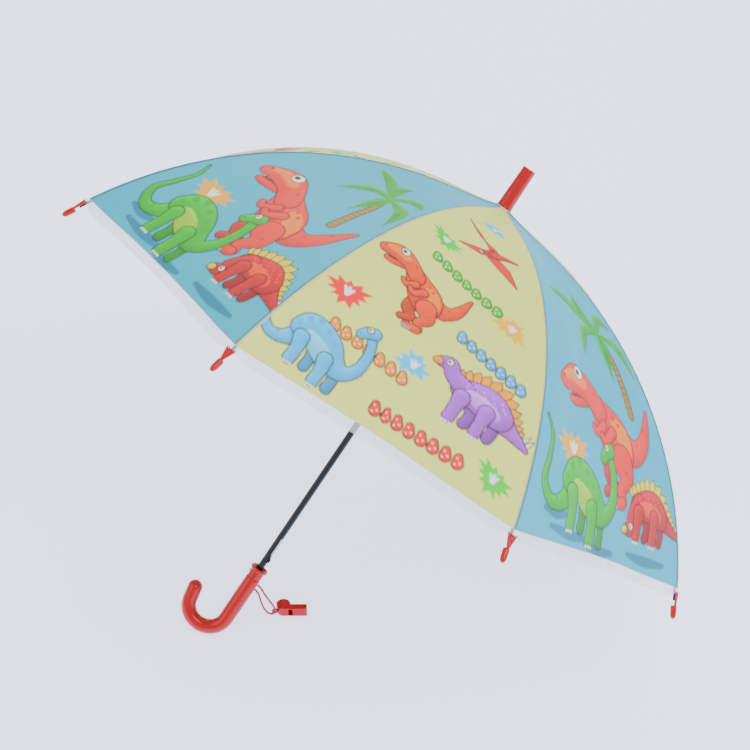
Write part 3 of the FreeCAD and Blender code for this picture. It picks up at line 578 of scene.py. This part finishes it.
def plated(cloth, across, down, size, colour, plate, belly, head_at=(-48, -18)):
    """A four-legged dinosaur with a row of plates from its neck to its spiked tail."""
    def place(*spine):
        return [(across + x * size, down + y * size, r * size) for x, y, r in spine]

    dark = colour * 0.6
    for x in (-4, 24):
        cloth.stroke(place((x, 12, 7), (x + 2, 26, 5.4), (x, 36, 5.6)), dark)
    back = smooth_spine(np.array([(-32, -10, 6), (-20, -16, 8), (-2, -20, 11), (18, -18, 12),
                                  (34, -4, 10), (46, 8, 7), (54, 14, 5)], float), 2)
    for (x, y, high), (after_x, after_y, _) in zip(back[:-1], back[1:]):
        way = np.array([after_x - x, after_y - y]) / math.hypot(after_x - x, after_y - y)
        out = np.array([way[1], -way[0]])
        corners = [np.array([x, y]) - way * 0.46 * high - out * 3,
                   np.array([x, y]) - way * 0.62 * high + out * high * 0.55,
                   np.array([x, y]) + out * high * 1.2,
                   np.array([x, y]) + way * 0.5 * high + out * high * 0.4,
                   np.array([x, y]) + way * 0.4 * high - out * 3]
        cloth.patch([(across + size * cx, down + size * cy) for cx, cy in corners], plate)
    for x, y in ((56, 16), (61, 19)):
        cloth.patch([(across + (x - 2) * size, down + y * size),
                     (across + (x + 7) * size, down + (y - 10) * size),
                     (across + (x + 3) * size, down + (y + 2) * size)], linear(246, 246, 238))
    cloth.stroke(place((28, 8, 13), (42, 14, 8), (54, 19, 5), (65, 24, 1.6)), colour)
    cloth.stroke(place((-22, 2, 11), (-8, 0, 16), (10, 0, 19), (25, 6, 15)), colour)
    x, y = head_at
    cloth.stroke(place((-18, 0, 11), ((x - 24) / 2, (y + 2) / 2, 8.5), (x + 5, y, 8),
                       (x - 4, y + 2, 6.5)), colour)
    cloth.stroke(place((-12, 2, 6), (4, 4, 9), (20, 8, 7)), belly, ink=False)
    cloth.stroke(place((x - 8, y + 3, 4.2), (x - 10, y + 4, 3.6)), plate)
    for leg in (-18, 12):
        cloth.stroke(place((leg, 10, 9), (leg - 1, 24, 6.5), (leg - 2, 38, 6.2)), colour)
        for toe in (-4, 0, 4):
            cloth.disc(across + (leg - 2 + toe) * size, down + 44 * size, 1.6 * size,
                       linear(246, 246, 238))
    cloth.eye(across + (x + 3) * size, down + (y - 2) * size, 3.4 * size)
    for spot in range(14):
        cloth.disc(across + (-18 + 3.6 * spot) * size,
                   down + (-6 + 5 * math.sin(spot * 2.1)) * size, 1.3 * size, belly)


def flyer(cloth, across, down, size, colour):
    """A gliding pterosaur with one wing up and one wing down."""
    def spot(x, y):
        return across + x * size, down + y * size

    for wing in (((-4, 2), (-26, -28), (-44, -46), (-24, -20), (-2, -10), (10, 4)),
                 ((2, 6), (22, 18), (38, 44), (14, 30), (-6, 16))):
        cloth.patch([spot(x, y) for x, y in wing], colour)
    cloth.stroke([(*spot(x, y), r * size)
                  for x, y, r in ((-14, 12, 3.5), (0, 4, 5.5), (14, -4, 3), (26, -8, 1))], colour)
    cloth.patch([spot(x, y) for x, y in ((-16, 6), (-44, 22), (-15, 18), (-2, 8))], colour)
    cloth.patch([spot(x, y) for x, y in ((-16, 8), (-4, -6), (-8, 10))], colour * 0.7)
    cloth.eye(*spot(-17, 12), 2.2 * size)


def palm(cloth, across, down, size):
    """A palm tree: a ringed trunk leaning from its foot up to drooping fronds at a crown."""
    cloth.stroke([(across, down, 3 * size), (across + 17 * size, down + 42 * size, 3.6 * size),
                  (across + 29 * size, down + 98 * size, 5 * size)], linear(168, 142, 48))
    for ring in np.linspace(0.06, 0.98, 13):
        x = across + (17 * 2 * ring - 5 * ring * ring) * size
        cloth.stroke([(x - 4 * size, down + (98 * ring + 1) * size, 0.6),
                      (x + 4 * size, down + (98 * ring - 1) * size, 0.6)],
                     linear(104, 84, 30), ink=False, flat=True)
    for tip_x, tip_y, sag in ((-72, -42, -14), (-20, -52, -4), (32, -20, -16), (-44, 40, -22),
                              (6, 60, -4), (54, 50, -16)):
        middle = (0.5 * tip_x + 0.22 * tip_y, 0.5 * tip_y + sag)
        if tip_y > 0:
            middle = (0.62 * tip_x, 0.36 * tip_y + sag * 0.5)
        frond = [(across, down, 2.4 * size),
                 (across + middle[0] * size, down + middle[1] * size, 8.2 * size),
                 (across + tip_x * size, down + tip_y * size, 0.8 * size)]
        cloth.stroke(frond, linear(66, 178, 84), ink=False)
        rib = [(x, y, 0.8) for x, y, _ in frond]
        cloth.stroke(rib, linear(24, 122, 70), ink=False, flat=True)
        shade = [(x + 1.5 * size, y + 4.5 * size, max(0.3, r * 0.32)) for x, y, r in frond[1:]]
        cloth.stroke(shade, linear(20, 132, 84), ink=False, flat=True)


ORANGE, RUST = linear(226, 96, 52), linear(178, 34, 38)
CREAM, LEAF = linear(246, 158, 104), linear(86, 188, 100)
TEAL, TEAL_SHADE = linear(4, 172, 188), linear(2, 122, 142)
YELLOW, SKY = linear(232, 238, 176), linear(128, 198, 240)
VIOLET = linear(164, 104, 200)
GOLD = linear(240, 176, 84)
TEAL_SEAM = 3.0, linear(10, 120, 140)    # half width in millimetres and colour at a rib
YELLOW_SEAM = 2.0, linear(214, 196, 140)


def teal_gore(cloth):
    """Palm, walker, long-neck, plated dinosaur and a star on sea green."""
    for across, down, wide in ((-62, 462, 36), (-6, 468, 26), (84, 462, 34), (-92, 446, 20)):
        cloth.stroke([(across - wide, down, 3), (across, down + 2, 6), (across + wide, down, 3)],
                     TEAL_SHADE, ink=False, flat=True)
    palm(cloth, 30, 204, 1.0)
    cloth.burst(-66, 374, 23, linear(246, 186, 104))
    walker(cloth, 10, 326, 1.46, ORANGE, CREAM)
    long_neck(cloth, -42, 412, 1.08, LEAF, linear(178, 212, 128))
    plated(cloth, 82, 404, 0.98, RUST, linear(226, 214, 104), linear(226, 110, 84), (-34, 30))


def yellow_gore(cloth):
    """Small figures strewn over pale yellow, with stars and rows of eggs between them."""
    cloth.burst(0, 106, 14, SKY, points=9, slant=0.3)
    cloth.burst(-41, 204, 16, linear(122, 208, 104), slant=0.4)
    cloth.burst(-97, 360, 19, linear(232, 44, 40), slant=-0.1)
    cloth.burst(-6, 388, 17, SKY, points=9)
    cloth.burst(62, 277, 17, linear(250, 196, 116), slant=0.2)
    cloth.burst(116, 448, 17, linear(122, 208, 104), slant=0.3)
    flyer(cloth, 12, 168, 0.95, linear(200, 40, 48))
    cloth.eggs(0, 252, 7, 13.5, 8.5, linear(106, 208, 96), slant=0.28)
    walker(cloth, -37, 296, 0.94, linear(224, 110, 66), CREAM)
    cloth.eggs(-50, 404, 7, 13.5, 8.5, linear(250, 166, 62), slant=0.1)
    long_neck(cloth, -92, 426, 0.84, linear(84, 190, 230), linear(160, 218, 240))
    cloth.eggs(60, 334, 7, 12.5, 8.5, linear(92, 176, 232), slant=0.25)
    plated(cloth, 68, 380, 0.96, VIOLET, GOLD, linear(206, 156, 226))
    cloth.eggs(31, 452, 8, 13.5, 9, linear(230, 58, 50))


def deepened(colour):
    """Printing inks seen on a glossy film under bright light need a stronger colour."""
    grey = colour @ np.array([0.2126, 0.7152, 0.0722])
    return np.clip(grey[..., None] + 1.75 * (colour - grey[..., None]), 0.0, 1.0)


def paint_gore(number, side, across, down):
    """Colours of half a gore: side -1 or 1 of a rib; gores take turns of teal and yellow."""
    gore = (number - 1 + (1 if side > 0 else 0)) % RIBS
    teal = gore % 2 == 0
    cloth = Print(across, down, TEAL if teal else YELLOW)
    (teal_gore if teal else yellow_gore)(cloth)
    return deepened(cloth.colour), teal


# ---------------------------------------------------------------- canopy
def film_radius_level(length):
    """Radius and level of the film over a rib, a length down from the canopy's top: a round arc,
    lifted near the shaft by a rise that fades out with the radius."""
    turn = length / BOW
    radius = PITCH + BOW * np.sin(turn)
    level = BOW * (np.cos(turn) - 1) + 0.008 * np.exp(-(radius - PITCH) / 0.026)
    return radius, level


def film_points(number, share, length, lift=0.0):
    """Points of the film beside one rib.  share runs from -1 to 1 between the middles of the two
    gores; the film is straight from rib to rib, dips a little between them, puckers at the seam
    and creases towards the hem."""
    radius, level = film_radius_level(length)
    half = RIB_STEP / 2
    away = np.abs(share)
    outward = radius - radius * math.sin(half) ** 2 * away
    sideways = radius * math.sin(half) * math.cos(half) * share
    turn = length / BOW
    dip = 0.0032 * np.sin(math.pi * away / 2) ** 2 * np.clip(length / 0.25, 0, 1)
    width = np.abs(sideways)
    pucker = 0.0001 * np.exp(-(width / 0.006) ** 2) * np.sin(length * 420 + number)
    welt = 0.0007 * np.exp(-(width / 0.0016) ** 2)
    crease = 0.0007 * np.sin(away * 9.0 + length * 34.0 + 1.3 * number) * np.sin(math.pi * away)
    crease = crease * np.clip(length / 0.3, 0, 1)
    out = lift - dip + pucker + welt + crease
    outward = outward + out * np.sin(turn)
    level = level + out * np.cos(turn)
    outward_way, side_way = rib_ways(number)
    return (ORIGIN + outward[..., None] * outward_way + sideways[..., None] * side_way
            + level[..., None] * UP)


def film_shares(count):
    """Shares across a panel, closer together near the rib."""
    even = np.linspace(-1, 1, count)
    return np.sign(even) * (0.92 * np.abs(even) + 0.08 * np.abs(even) ** 3)


def add_layer(piece, name, values):
    """A colour attribute on the piece's points."""
    layer = piece.data.color_attributes.new(name, "FLOAT_COLOR", "POINT")
    colours = np.ones((len(piece.data.vertices), 4))
    colours[:, :3] = values.reshape(-1, 3)
    layer.data.foreach_set("color", colours.ravel())


def add_uv(piece, across, down):
    """A UV map in metres along and across the cloth."""
    loops = np.empty(len(piece.data.loops), int)
    piece.data.loops.foreach_get("vertex_index", loops)
    flat = np.stack([across.ravel(), down.ravel()], axis=1)[loops]
    piece.data.uv_layers.new(name="cloth").data.foreach_set("uv", flat.ravel())


def cloth_area(piece):
    """Area of a piece's faces in square metres."""
    areas = np.empty(len(piece.data.polygons))
    piece.data.polygons.foreach_get("area", areas)
    return float(areas.sum())


def gather(piece):
    """Give the piece its own copy of its mesh."""
    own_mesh(piece)


CELL = 0.0014


def make_panel(number, name, start, end, body, material):
    """One printed stretch of film on one rib, as a fine grid whose points carry the print."""
    rows = max(int((end - start) / CELL), 4)
    columns = int(2 * film_radius_level(end)[0] * math.sin(RIB_STEP / 2) / CELL) | 1
    share, length = np.meshgrid(film_shares(columns), np.linspace(start, end, rows))
    if end >= PRINT_LENGTH - 1e-6:
        fraction = (length - start) / (end - start)
        length = length - 0.004 * fraction ** 3 * np.sin(math.pi * np.abs(share) / 2) ** 2
    points = film_points(number, share, length)
    piece = mesh_piece(name, points, grid_faces(rows, columns), material)
    radius = film_radius_level(length)[0]
    half_width = radius * math.sin(RIB_STEP / 2)
    colours = np.zeros(share.shape + (3,))
    for side in (-1, 1):
        chosen = share < 0 if side < 0 else share >= 0
        across = (half_width * share - side * half_width)[chosen] * 1000
        down = length[chosen] * 1000
        painted, teal = paint_gore(number, side, across, down)
        seam = np.abs(half_width * share)[chosen] * 1000
        seam_width, thread = TEAL_SEAM if teal else YELLOW_SEAM
        edge = np.clip((seam_width - seam) / 0.8, 0, 1)[:, None]
        colours[chosen] = painted * (1 - edge) + thread * edge
    add_layer(piece, "print", colours)
    add_uv(piece, half_width * share, length)
    show(piece, body, "canopy_film", "canopy_panel_%d" % number)
    cloth_area(piece)
    gather(piece)


def hem_width(share):
    """Width of the clear band: narrow at the rib, full between ribs."""
    return HEM_WIDTH - HEM_NOTCH * np.exp(-(np.abs(share) / 0.07) ** 2)


def make_hem(number, material):
    """The frosted clear band under the print, with a folded and stitched edge."""
    rows, columns = 19, 181
    share, band = np.meshgrid(film_shares(columns), np.linspace(0, 1, rows))
    start = PRINT_LENGTH - 0.004 * np.sin(math.pi * np.abs(share) / 2) ** 2
    length = start - 0.0006 + band * (hem_width(share) + 0.0006)
    fold = np.exp(-((band - 0.52) / 0.06) ** 2) + np.exp(-((band - 0.97) / 0.05) ** 2)
    ripple = 0.0005 * np.sin(share * 60 + number) * band
    points = film_points(number, share, length, lift=0.00015 + 0.0005 * fold + ripple)
    piece = mesh_piece("hem_%d" % number, points, grid_faces(rows, columns), material)
    clear = linear(226, 229, 238)
    colours = np.broadcast_to(clear, share.shape + (3,)).copy()
    for middle, width, paint in ((0.03, 0.05, linear(238, 196, 204)),
                                 (0.52, 0.05, linear(250, 250, 252)),
                                 (0.97, 0.06, linear(252, 252, 254))):
        line = np.exp(-((band - middle) / width) ** 2)[..., None]
        colours = colours * (1 - line) + paint * line
    radius = film_radius_level(length)[0]
    half_width = radius * math.sin(RIB_STEP / 2)
    for spot in (-2 / 3, 2 / 3):
        gap = np.hypot((share - spot) * half_width, (band - 0.3) * HEM_WIDTH)
        dot = np.clip((0.0012 - gap) / 0.0006, 0, 1)[..., None]
        colours = colours * (1 - dot) + linear(70, 70, 78) * dot
    add_layer(piece, "print", colours)
    add_uv(piece, half_width * share, length)
    show(piece, "rib_outer_%d" % number, "canopy_film")
    cloth_area(piece)
    gather(piece)


# ---------------------------------------------------------------- rib tips
def make_rib_cap(number, material):
    """A moulded cap: a fan of five fingers sewn to the film, a neck, and a rounded bullet."""
    turn = TIP_START / BOW
    start = umbrella_point(rib_azimuth(number), PITCH + (BOW - RIB_DEPTH) * math.sin(turn),
                           (BOW - RIB_DEPTH) * math.cos(turn) - BOW)
    outward_way, side_way = rib_ways(number)
    ahead = math.cos(turn) * outward_way - math.sin(turn) * UP
    above = np.cross(side_way, ahead)
    above = above if above @ UP > 0 else -above
    steps = np.array([11.0, 11.4, 12.2, 13.5, 16, 19, 21.5, 23.4, 24.8, 25.6, 25.95])
    radii = np.array([2.2, 2.9, 3.3, 3.4, 3.4, 3.35, 3.25, 2.8, 2.0, 1.1, 0.3])
    bullet = carried("rib_cap_%d" % number, start + steps[:, None] * ahead / 1000, 28,
                     radii / 1000, material)
    show(bullet, "rib_outer_%d" % number, "red_plastic", "rib_tip_%d" % number)
    for finger in range(5):
        lean = (finger - 2) * 0.2
        reach = np.linspace(0, 1, 9)
        centre = (start + (12.5 - 16.5 * reach)[:, None] * ahead / 1000
                  + (np.sin(lean) * 13.0 * reach ** 1.1)[:, None] * side_way / 1000
                  + (1.5 + 1.0 * reach + 0.25 * np.cos(finger * math.pi))[:, None] * above / 1000)
        width = (1.35 - 0.25 * reach) * np.sqrt(np.clip(1 - (2 * np.clip(reach - 0.5, 0, 1)) ** 6,
                                                        0.04, 1))
        piece = carried("rib_fan_%d_%d" % (number, finger + 1), centre, 14, width / 1000, material,
                        sections=np.tile([0.8, 1.0], (9, 1)), first_side=above)
        show(piece, "rib_outer_%d" % number, "red_plastic")


# ---------------------------------------------------------------- ferrule, collar and hook
def make_ferrule(material):
    """The red cap: a slow taper with a rounded rim, a foot bead and a shallow end dimple."""
    foot, top = 8.9, 60.9
    corners = [(0.05, foot), (9.25, foot), (9.3, foot + 1.4), (9.0, foot + 2.4), (8.0, top),
               (6.2, top), (5.6, top - 0.5), (0.05, top - 0.5)]
    outline = rounded(corners, [0, 0.5, 0.6, 0.6, 1.1, 0.4, 0.4, 0]) * MM
    show(turned("ferrule_cap", outline, material), "shaft", "red_plastic", "ferrule")


def make_collar(material):
    """The collar: a rolled lip round a shallow dish, over a sleeve that steps onto the grip."""
    top = -509.0
    corners = [(4.05, top - 15), (8.6, top - 15), (8.6, top - 5.2), (9.3, top - 4.2),
               (11, top - 3.6), (11, top), (8.8, top), (7.2, top - 2.6), (4.05, top - 2.6)]
    outline = rounded(corners, [0, 0.7, 0.8, 0.6, 1.6, 1.6, 0.9, 0.8, 0]) * MM
    show(turned("collar_ring", outline, material), "shaft", "red_plastic", "handle_collar")


def make_hook(material):
    """The J grip: a straight, a round bend and a short end that closes in a half ball; the
    straight part swells a little in the hand."""
    azimuth = math.radians(132)
    straight, bend, end, radius = 61.0, 25.0, 15.0, 9.0
    turn = math.radians(170)
    top = -524.05
    drop = np.linspace(0, straight, 40)
    arc = np.linspace(0, turn, 72)[1:]
    tail = np.linspace(0, end, 12)[1:]
    close = np.linspace(0, math.pi / 2, 14)[1:]
    centre_level = top - straight
    across = np.concatenate([drop * 0, bend * (1 - np.cos(arc)),
                             bend * (1 - np.cos(turn)) + tail * np.sin(turn)])
    level = np.concatenate([top - drop, centre_level - bend * np.sin(arc),
                            centre_level - bend * np.sin(turn) - tail * np.cos(turn)])
    cap = radius * np.sin(close)
    across = np.concatenate([across, across[-1] + cap * math.sin(turn)])
    level = np.concatenate([level, level[-1] - cap * math.cos(turn)])
    run = len(drop) + len(arc) + len(tail)
    size = np.full(len(across), radius)
    size[:len(drop)] += 0.25 * np.sin(math.pi * drop / straight) - 0.3 * np.exp(-drop / 0.8)
    size[run:] = radius * np.cos(close)
    size[-1] = 0.05
    path = umbrella_point(azimuth, across * MM, level * MM)
    show(carried("hook_grip", path, 64, size * MM, material,
                 first_side=-math.sin(azimuth) * LOW_SIDE + math.cos(azimuth) * FAR_SIDE),
         "shaft", "red_plastic", "hook_handle")


# ---------------------------------------------------------------- whistle cord
# Out of the upper hole, down through the whistle's ring, round it just above the floor, and
# back up in a slack bow to the lower hole.
CORD_ROUTE = ((-192.3, -7.3, 56.4), (-189.2, -10.6, 50.6), (-186.4, -12.0, 40.0),
              (-179.4, -12.6, 23.5), (-174.8, -12.2, 12.2), (-174.8, -12.2, 3.4),
              (-181.0, -11.9, 3.6), (-187.4, -11.2, 12.4), (-191.6, -11.2, 28.4),
              (-193.4, -11.2, 39.4), (-194.2, -10.3, 46.4), (-196.6, -7.3, 51.6))
CORD_DIAMETER = 0.0025


def make_cord(material):
    """The whistle's cord on its listed route."""
    curve = bpy.data.curves.new("cord", "CURVE")
    curve.dimensions = "3D"
    curve.bevel_depth = CORD_DIAMETER / 2
    curve.bevel_resolution = 6
    curve.resolution_u = 24
    curve.use_fill_caps = True
    spline = curve.splines.new("NURBS")
    spline.points.add(len(CORD_ROUTE) - 1)
    for point, place in zip(spline.points, CORD_ROUTE):
        point.co = (*(part * MM for part in place), 1)
    spline.order_u = 3
    spline.use_endpoint_u = True
    curve.materials.append(material)
    cord = bpy.data.objects.new("cord", curve)
    bpy.context.scene.collection.objects.link(cord)
    show(cord, "whistle", "cord_red", "whistle_cord")


# ---------------------------------------------------------------- build
make_camera()
make_studio()
RED = (0.55, 0.0008, 0.0006)
red_plastic = moulded_plastic("red_plastic", RED)
cloth_material = canopy_cloth()
hem_material = clear_hem()
finishes = {
    "red_plastic": red_plastic,
    "shaft_black": painted_steel("shaft_enamel", (0.006, 0.006, 0.007), 0.16),
    "frame_black": painted_steel("frame_enamel", (0.012, 0.012, 0.013), 0.32),
    "spring_steel": bright_steel("spring_steel", (0.66, 0.66, 0.68), 0.18),
    "pin_steel": bright_steel("pin_steel", (0.42, 0.42, 0.43), 0.3),
    "black_plastic": moulded_plastic("black_nylon", (0.012, 0.012, 0.014), 0.42, 0.1),
    "washer_plastic": moulded_plastic("pale_washer", (0.74, 0.78, 0.8), 0.35, 0.2),
}
slots = {part["node"]: part["material_slot"] for part in record["subparts"]}
for node_name, node in frame["nodes"].items():
    if slots[node_name] in finishes:
        node.data.materials.clear()
        node.data.materials.append(finishes[slots[node_name]])
for rib in range(1, RIBS + 1):
    make_panel(rib, "canopy_inner_%d" % rib, 0.0012, JOINT_LENGTH, "rib_inner_%d" % rib,
               cloth_material)
    make_panel(rib, "canopy_outer_%d" % rib, JOINT_LENGTH, PRINT_LENGTH, "rib_outer_%d" % rib,
               cloth_material)
    make_hem(rib, hem_material)
    make_rib_cap(rib, red_plastic)
make_ferrule(red_plastic)
make_collar(red_plastic)
make_hook(red_plastic)
make_cord(braided_cord())
